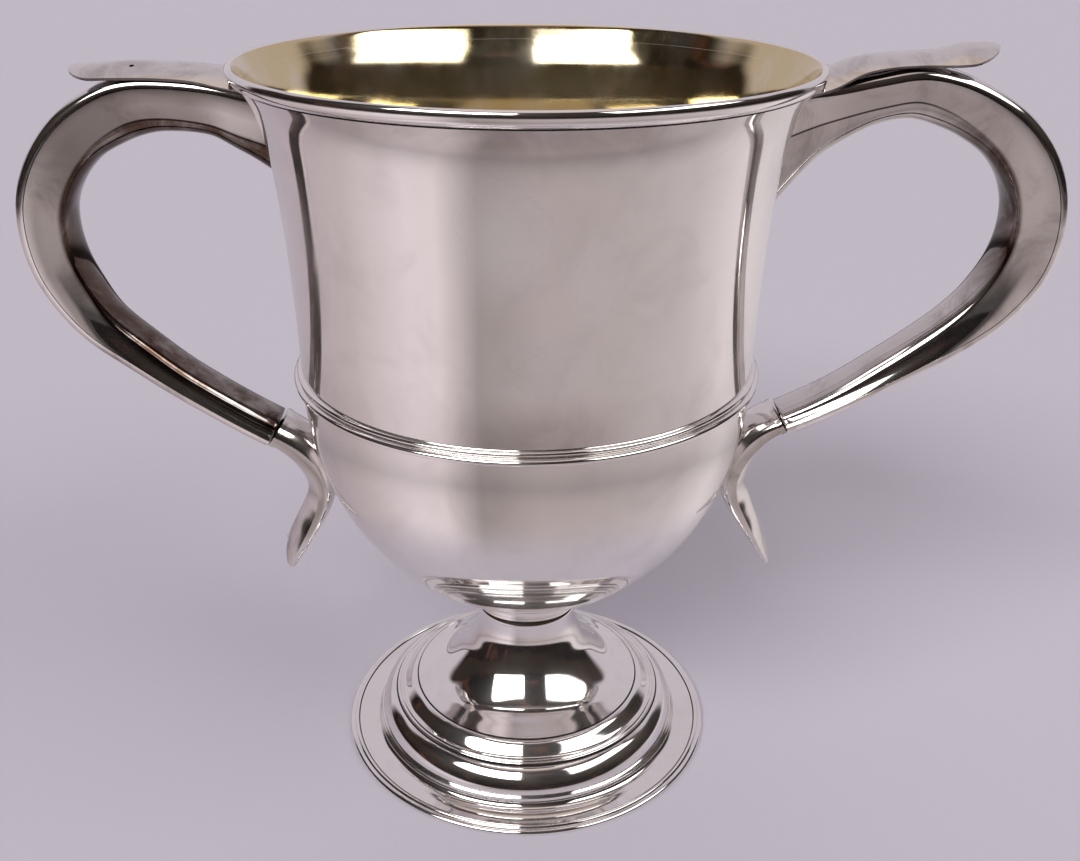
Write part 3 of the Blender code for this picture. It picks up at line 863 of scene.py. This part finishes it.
def crease_tarnish_and_shade(tree, base, cloud, root, crown, arm):
    """Brown tarnish on a trough's inner face and a film over its crown, with a black line of painted shade in
    its crease.
    """
    spot = add(tree, "SeparateXYZ", {"Vector": add(tree, "TexCoord").outputs["UV"]})
    run = spot.outputs["X"]
    past = spot.outputs["Y"]
    # The cloth misses the inner face, so its film stays ragged and brown. The hand that lifts the cup rubs
    # the lower arm, from about 105 mm along the run.
    inner = faded(tree, (past, -0.9 * MM, 0.3 * MM, 0.0, 1.0), (cloud, 0.3, 0.6, 0.6, 1.0),
                  (run, 92.0 * MM, 116.0 * MM, 1.0, arm), (run, 35.0 * MM, 60.0 * MM, root, 1.0))
    over = faded(tree, (run, 8.0 * MM, 22.0 * MM, 0.0, crown), (run, 52.0 * MM, 70.0 * MM, 1.0, 0.0))
    film = add(tree, "Math", {0: inner, 1: over}, operation="MAXIMUM")
    stained = add(tree, "Mix", {"Factor": film, "A": base, "B": linear(CROOK_BROWN)}, data_type="RGBA")
    # Painted shade: a dark line 0.4 mm wide along the crease of the upper arm stands for the crease's shade
    # and dark reflection.
    aside = add(tree, "Math", {0: past}, operation="ABSOLUTE")
    line = faded(tree, (aside, 0.1 * MM, 0.3 * MM, 1.0, 0.0), (run, 30.0 * MM, 60.0 * MM, 0.9, 0.0))
    return add(tree, "Mix", {"Factor": line, "A": stained, "B": linear(CREASE_SHADE_BLACK)}, data_type="RGBA")


def front_shade_and_tarnish(tree, base, cloud):
    """Painted shade with some tarnish: the bowl's front darkens in the tarnish colour under the rim wire and
    just over the girdle, most in the middle, where the mirror sees the shaded floor in front.
    """
    spot = add(tree, "SeparateXYZ", {"Vector": add(tree, "TexCoord").outputs["Object"]})
    height = spot.outputs["Z"]
    aside = add(tree, "Math", {0: spot.outputs["X"]}, operation="ABSOLUTE")
    ragged = (cloud, 0.3, 0.6, 0.7, 1.0)
    high = faded(tree, (height, 159.0 * MM, 167.0 * MM, 0.0, 0.5), (aside, 14.0 * MM, 42.0 * MM, 1.0, 0.25),
                 ragged)
    low = faded(tree, (height, 105.0 * MM, 118.0 * MM, 0.45, 0.0), (aside, 6.0 * MM, 24.0 * MM, 1.0, 0.15),
                (height, 101.0 * MM, 104.0 * MM, 0.0, 1.0), ragged)
    film = add(tree, "Math", {0: high, 1: low}, operation="ADD")
    return add(tree, "Mix", {"Factor": film, "A": base, "B": finish().tarnish}, data_type="RGBA")


def thumb_underside_shade(tree, base, cloud):
    """Painted shade: black on a thumb-piece's rounded edge and on the faces that look down, a little ragged
    with the tarnish clouds.
    """
    facing = add(tree, "SeparateXYZ", {"Vector": add(tree, "TexCoord").outputs["Normal"]})
    film = faded(tree, (facing.outputs["Z"], 0.1, 0.5, 0.8, 0.0), (cloud, 0.3, 0.6, 0.8, 1.0))
    return add(tree, "Mix", {"Factor": film, "A": base, "B": linear(UNDERSIDE_SHADE_BLACK)}, data_type="RGBA")


def rubbed_bloom(tree, place):
    """The share of bloom: a trace all over and soft dull marks on the front of the bowl."""
    marks = BLOOM_TRACE
    for middle, spread, strength in BLOOM_MARKS:
        apart = add(tree, "VectorMath", {0: place, 1: Vector(middle) * MM}, operation="SUBTRACT")
        shrunk = add(tree, "VectorMath", {0: apart, 1: [1.0 / (half * MM) for half in spread]},
                     operation="MULTIPLY")
        reach = add(tree, "VectorMath", {0: shrunk}, operation="LENGTH")
        mark = faded(tree, (reach, 0.0, 1.0, strength, 0.0))
        marks = add(tree, "Math", {0: mark, 1: marks}, operation="ADD")
    return marks


def bowl_silver():
    """Raised sterling silver, planished and hand-buffed, with the soft haze of two centuries of rubbing."""
    # The bowl carries painted shade on its front, under the rim wire and over the girdle.
    return silver_surface("Bowl silver", polish=0.045, haze=0.14, strokes=(60.0, 60.0, 1500.0), stain=0.12,
                          wave=0.04, groove=BOWL_SEAM, stain_and_shade=front_shade_and_tarnish, bloom=rubbed_bloom)


def turned_silver(name, groove=None):
    """Drawn and turned sterling silver, burnished to a bright mirror on its mouldings."""
    return silver_surface(name, polish=0.04, haze=0.06, strokes=(60.0, 60.0, 2500.0), stain=0.08, wave=0.01,
                          groove=groove)


def handle_silver(name, film=HANDLE_FILM, stain_and_shade=None):
    """Hollow seamed sterling silver, buffed along its run, stained where hands don't reach."""
    return silver_surface(name, polish=0.05, haze=0.05, strokes=(500.0, 2500.0, 500.0), stain=0.55, wave=0.05,
                          film=film, stain_and_shade=stain_and_shade)


def trough_silver(name, root, crown, arm):
    """The same hollow sterling silver, with the tarnish that lies in the crook of a handle and painted shade
    along its crease.
    """
    return handle_silver(name, TROUGH_FILM, lambda *parts: crease_tarnish_and_shade(*parts, root, crown, arm))


def parcel_gilt():
    """Mercury gilding on the bowl's inside, thin and pale, with planishing marks under it."""
    material, tree = new_material("Pale parcel gilding")
    colours = finish()
    place = add(tree, "TexCoord").outputs["Object"]
    # Planishing marks about 7 mm wide make the reflections wander.
    oval = add(tree, "Mapping", {"Vector": place, "Scale": (1.0, 1.0, 0.7)})
    marks = add(tree, "TexNoise", {"Vector": oval, "Scale": 140.0, "Detail": 1.5, "Roughness": 0.4})
    # Fine pitting from the mercury process breaks the mirror into grains, drawn 0.6 mm wide so as to show.
    pits = add(tree, "TexNoise", {"Vector": place, "Scale": 1800.0, "Detail": 3.0, "Roughness": 0.7})
    # Wear lets the silver show through as cooler, duller clouds about 17 mm wide.
    tall = add(tree, "Mapping", {"Vector": place, "Scale": (1.0, 1.0, 0.6)})
    worn = add(tree, "TexNoise", {"Vector": tall, "Scale": 60.0, "Detail": 4.0, "Roughness": 0.6})
    base = add(tree, "Mix", {"Factor": faded(tree, (worn, 0.45, 0.75, 0.0, 0.45)),
                             "A": colours.gilding, "B": colours.silver}, data_type="RGBA")
    low = add(tree, "Bump", {"Height": marks, "Strength": 0.6, "Distance": 0.06 * MM})
    bump = add(tree, "Bump", {"Height": pits, "Normal": low, "Strength": 0.25, "Distance": 0.02 * MM})
    gloss = faded(tree, (worn, 0.3, 0.7, 0.05, 0.12))
    mirror = add(tree, "BsdfPrincipled", {"Base Color": base, "Normal": bump, "Metallic": 1.0,
                                          "Roughness": gloss})
    # The pitted gold scatters part of the light widely, so it glows below the windows.
    haze = add(tree, "BsdfPrincipled", {"Base Color": base, "Normal": bump, "Metallic": 1.0,
                                        "Roughness": 0.45})
    grains = faded(tree, (pits, 0.35, 0.75, 0.5, 1.2), (worn, 0.4, 0.65, 0.01, 0.06))
    # Deeper in the bowl the wiping cloth reaches less, and the gold stays matt.
    spot = add(tree, "SeparateXYZ", {"Vector": place})
    deep = faded(tree, (spot.outputs["Z"], 148.0 * MM, 165.0 * MM, 0.18, 0.0))
    share = add(tree, "Math", {0: grains, 1: deep}, operation="ADD")
    skin = add(tree, "MixShader", {0: share, 1: mirror, 2: haze})
    add(tree, "OutputMaterial", {"Surface": skin})
    return material


def bearing(tree, split):
    """The direction of a point in degrees: zero in front of the cup and 180 either way behind it."""
    front = add(tree, "Math", {0: split.outputs["Y"], 1: -1.0}, operation="MULTIPLY")
    angle = add(tree, "Math", {0: split.outputs["X"], 1: front}, operation="ARCTAN2")
    return add(tree, "Math", {0: angle}, operation="DEGREES")


def paper_surface():
    """Matt backdrop paper, a pale lilac grey; the mirror sees how its light falls off round the cup."""
    material, tree = new_material("Pale backdrop paper")
    place = add(tree, "TexCoord").outputs["Object"]
    split = add(tree, "SeparateXYZ", {"Vector": place})
    reach = add(tree, "VectorMath", {0: place}, operation="LENGTH")
    turn = add(tree, "Math", {0: bearing(tree, split), 1: 180.0}, operation="ADD")
    far = add(tree, "Math", {0: reach, 1: MM}, operation="DIVIDE")
    tones = []
    for value, stops in ((turn, PAPER_TONES), (far, PAPER_RINGS)):
        span = stops[-1][0]
        share = add(tree, "Math", {0: value, 1: span}, operation="DIVIDE")
        tones.append(add(tree, "ValToRGB", {"Fac": share}))
        elements = tones[-1].color_ramp.elements
        while len(elements) < len(stops):
            elements.new(0.5)
        for element, (along, shade) in zip(elements, stops):
            element.position = along / span
            element.color = (*linear(shade), 1.0)
    fallen = add(tree, "Mix", {"Factor": 1.0, "A": tones[0], "B": tones[1]}, data_type="RGBA",
                 blend_type="MULTIPLY")
    # Only mirrored rays see the fall-off, so the paper itself stays plain.
    ray = add(tree, "LightPath")
    away = faded(tree, (reach, PLAIN_REACH * MM, 2.0 * PLAIN_REACH * MM, 0.0, 1.0))
    seen = add(tree, "Math", {0: ray.outputs["Is Glossy Ray"], 1: away}, operation="MULTIPLY")
    base = add(tree, "Mix", {"Factor": seen, "A": finish().paper, "B": fallen}, data_type="RGBA")
    # Fibre mottle about 1 mm across.
    grain = add(tree, "TexNoise", {"Vector": place, "Scale": 900.0, "Detail": 3.0})
    bump = add(tree, "Bump", {"Height": grain, "Strength": 0.1, "Distance": 0.05 * MM})
    skin = add(tree, "BsdfPrincipled", {"Base Color": base, "Normal": bump, "Roughness": 0.85})
    add(tree, "OutputMaterial", {"Surface": skin})
    return material


def window(tree, azimuth, height, pane):
    """A soft-edged bright pane in the world, between two azimuths and two heights in degrees."""
    left, right, low, high = pane
    soft = WINDOW_SOFT
    return faded(tree, (azimuth, left - soft, left + soft, 0.0, 1.0),
                 (azimuth, right - soft, right + soft, 1.0, 0.0),
                 (height, low - soft, low + soft, 0.0, 1.0), (height, high - soft, high + soft, 1.0, 0.0))


def studio_world():
    """A dark room with two windows in front, a pale ceiling above and pale screens beside and behind."""
    world = bpy.data.worlds.new("Window light")
    bpy.context.scene.world = world
    world.use_nodes = True
    tree = world.node_tree
    tree.nodes.clear()
    colours = finish()
    place = add(tree, "TexCoord").outputs["Generated"]
    split = add(tree, "SeparateXYZ", {"Vector": place})
    azimuth = bearing(tree, split)
    rise = add(tree, "Math", {0: split.outputs["Z"]}, operation="ARCSINE")
    height = add(tree, "Math", {0: rise}, operation="DEGREES")
    sideways = add(tree, "Math", {0: azimuth}, operation="ABSOLUTE")
    # Dark wooden furniture and shelves stand in the room.
    wood = add(tree, "TexNoise", {"Vector": place, "Scale": 5.0, "Detail": 3.0, "Roughness": 0.6})
    shade = add(tree, "Mix", {"Factor": faded(tree, (wood, 0.5, 0.75, 0.0, 1.0)),
                              "A": colours.room, "B": colours.wood}, data_type="RGBA")
    # The far floor of the room is a little warmer and lighter than its walls.
    low = faded(tree, (height, *ROOM_FOOT, 0.0, 0.8), (height, *ROOM_WALL, 1.0, 0.0))
    screen = faded(tree, (sideways, *SCREEN_SIDE, 0.0, 1.0), (height, *SCREEN_TOP, 1.0, 0.0))
    # The screens stand further back low down, so the room is dark beside the cup.
    dark = faded(tree, (sideways, *GAP_SIDE, 1.0, 0.0), (height, *GAP_TOP, 1.0, 0.0))
    clear = add(tree, "Math", {0: 1.0, 1: dark}, operation="SUBTRACT")
    screen = add(tree, "Math", {0: screen, 1: clear}, operation="MULTIPLY")
    ceiling = faded(tree, (height, *CEILING, 0.0, 1.0))
    layers = [(low, linear(LOW_ROOM)), (screen, linear(PALE_SCREEN)), (ceiling, linear(PALE_CEILING))]
    for pane, share in zip(WINDOW_PANES, WINDOW_SHARES):
        level = [colours.window * share * tint for tint in WINDOW_TINT]
        layers.append((window(tree, azimuth, height, pane), level))
    for share, colour in layers:
        shade = add(tree, "Mix", {"Factor": share, "A": shade, "B": colour}, data_type="RGBA")
    light = add(tree, "Background", {"Color": shade, "Strength": 1.0})
    seen = add(tree, "Background", {"Color": linear(FAR_PAPER), "Strength": 1.0})
    ray = add(tree, "LightPath")
    both = add(tree, "MixShader", {0: ray.outputs["Is Camera Ray"], 1: light, 2: seen})
    add(tree, "OutputWorld", {"Surface": both})


def place_camera():
    """The camera where the photograph was taken from."""
    bpy.ops.object.camera_add()
    thing = bpy.context.object
    thing.data.sensor_width = SENSOR
    thing.data.sensor_fit = "HORIZONTAL"
    thing.data.lens = SENSOR * FOCAL_PIXELS / PHOTO_WIDTH
    thing.data.clip_start = NEAR_CLIP
    spin = Matrix.Rotation(math.radians(-CAMERA_HEADING), 4, "Z")
    nod = Matrix.Rotation(math.radians(90.0 - CAMERA_PITCH), 4, "X")
    roll = Matrix.Rotation(math.radians(CAMERA_ROLL), 4, "Z")
    thing.matrix_world = Matrix.Translation(Vector(CAMERA_PLACE) * MM) @ spin @ nod @ roll
    bpy.context.scene.camera = thing


class CUP_OT_bowl(bpy.types.Operator):
    """Model the raised bowl with its gilt inside"""

    bl_idname = "cup.bowl"
    bl_label = "Bowl"

    def execute(self, context):
        model_bowl()
        return {"FINISHED"}


class CUP_OT_bands(bpy.types.Operator):
    """Model the rim wire and the reeded girdle"""

    bl_idname = "cup.bands"
    bl_label = "Rim and girdle"

    def execute(self, context):
        model_bands()
        return {"FINISHED"}


class CUP_OT_foot(bpy.types.Operator):
    """Model the neck collar, dome, moulding and foot rim"""

    bl_idname = "cup.foot"
    bl_label = "Foot"

    def execute(self, context):
        model_foot()
        return {"FINISHED"}


class CUP_OT_handles(bpy.types.Operator):
    """Model both scroll handles with their lower ends and thumb-pieces"""

    bl_idname = "cup.handles"
    bl_label = "Handles"

    def execute(self, context):
        model_handle("left", -1, LEFT_RUN, LEFT_TAIL, LEFT_SKEW, LEFT_THUMB, LEFT_STAINS)
        model_handle("right", 1, RIGHT_RUN, RIGHT_TAIL, RIGHT_SKEW, RIGHT_THUMB, RIGHT_STAINS)
        return {"FINISHED"}


class CUP_OT_stage(bpy.types.Operator):
    """Lay the paper, light the room and place the camera"""

    bl_idname = "cup.stage"
    bl_label = "Stage"

    def execute(self, context):
        bpy.ops.object.select_all(action="DESELECT")
        bpy.ops.mesh.primitive_plane_add(size=FLOOR_SIZE)
        floor = context.object
        floor.name = "paper_floor"
        floor.data.materials.append(paper_surface())
        studio_world()
        place_camera()
        context.scene.view_settings.view_transform = "Standard"
        return {"FINISHED"}


class CUP_PT_panel(bpy.types.Panel):
    """Sidebar panel that lists the cup's makers"""

    bl_label = "Silver Cup"
    bl_idname = "CUP_PT_panel"
    bl_space_type = "VIEW_3D"
    bl_region_type = "UI"
    bl_category = "Silver Cup"

    def draw(self, context):
        for group in (context.scene.cup_sizes, context.scene.cup_finish):
            for name in group.__annotations__:
                self.layout.prop(group, name)
        for kind in MAKERS:
            self.layout.operator(kind.bl_idname)


MAKERS = (CUP_OT_bowl, CUP_OT_bands, CUP_OT_foot, CUP_OT_handles, CUP_OT_stage)


def register():
    """Register the classes and their settings."""
    for kind in (CupSizes, CupFinish, CUP_PT_panel) + MAKERS:
        bpy.utils.register_class(kind)
    bpy.types.Scene.cup_sizes = PointerProperty(type=CupSizes)
    bpy.types.Scene.cup_finish = PointerProperty(type=CupFinish)


def unregister():
    """Remove the settings and the classes."""
    del bpy.types.Scene.cup_finish
    del bpy.types.Scene.cup_sizes
    for kind in reversed((CupSizes, CupFinish, CUP_PT_panel) + MAKERS):
        bpy.utils.unregister_class(kind)


def main():
    """Model the whole cup."""
    register()
    bpy.ops.cup.bowl()
    bpy.ops.cup.bands()
    bpy.ops.cup.foot()
    bpy.ops.cup.handles()
    bpy.ops.cup.stage()


if __name__ == "__main__":
    main()
